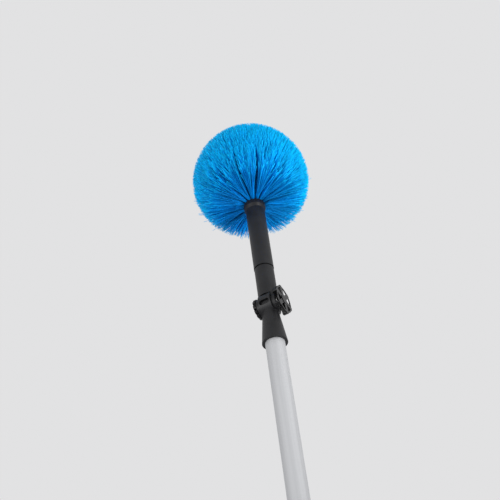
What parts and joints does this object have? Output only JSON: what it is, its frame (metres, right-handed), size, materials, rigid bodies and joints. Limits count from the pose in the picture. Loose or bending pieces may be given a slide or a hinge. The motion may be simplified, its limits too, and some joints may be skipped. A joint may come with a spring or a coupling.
{
  "type": "cobweb brush",
  "caption": "Round cobweb brush: a ball of blue bristle tufts on a straight neck that tilts on a knob-locked angle joint, on a telescopic aluminium pole with a collar lock and grip.",
  "frame": {"origin": "centre of the brush's bounding box at its lowest point, the tip of the end cap's hanging tongue", "axes": "+Z along the pole towards the bristle ball, X along the angle joint's bolt with the star knob on +X"},
  "size_m": [0.1698, 0.1698, 1.0733],
  "materials": {
    "bristles": "bright blue plastic bristles",
    "black_plastic": "fine-grained black moulding",
    "aluminium": "matte anodised silver",
    "steel": "zinc-plated",
    "brass": "plain",
    "grip_foam": "dense black foam"
  },
  "bodies": {
    "pole_base": {"outer_tube": "aluminium", "hand_grip": "grip_foam", "end_cap": "black_plastic", "lock_ferrule": "black_plastic"},
    "lock_collar": {"lock_collar": "black_plastic"},
    "wear_ring": {"wear_ring": "black_plastic"},
    "pole_top": {"inner_tube": "aluminium", "guide_bush": "black_plastic", "tip_plug": "black_plastic", "tip_pin": "steel", "lower_knuckle": "black_plastic", "hinge_bolt": "steel", "bolt_cap": "black_plastic"},
    "knob": {"star_knob": "black_plastic", "knob_insert": "brass", "knob_washer": "steel"},
    "head": {"upper_knuckle": "black_plastic", "brush_neck": "black_plastic", "brush_block": "black_plastic", "tuft_row_1": "bristles", "tuft_row_2": "bristles", "tuft_row_3": "bristles", "tuft_row_4": "bristles", "tuft_row_5": "bristles", "tuft_row_6": "bristles"}
  },
  "joints": [
    {"name": "collar_turn", "type": "hinge", "parent": "pole_base", "child": "lock_collar", "pos_m": [0, 0, 0.453], "axis": [0, 0, 1], "range_deg": [0, 120]},
    {"name": "pole_slide", "type": "slide", "parent": "pole_base", "child": "wear_ring", "axis": [0, 0, 1], "range_m": [-0.2, 0.1]},
    {"name": "pole_twist", "type": "hinge", "parent": "wear_ring", "child": "pole_top", "pos_m": [0, 0, 0.312], "axis": [0, 0, 1], "range_deg": [-180, 180]},
    {"name": "head_tilt", "type": "hinge", "parent": "pole_top", "child": "head", "pos_m": [0, 0, 0.7528], "axis": [1, 0, 0], "range_deg": [-90, 90]},
    {"name": "knob_turn", "type": "hinge", "parent": "pole_top", "child": "knob", "pos_m": [0, 0, 0.7528], "axis": [1, 0, 0], "range_deg": [0, 360]}
  ]
}
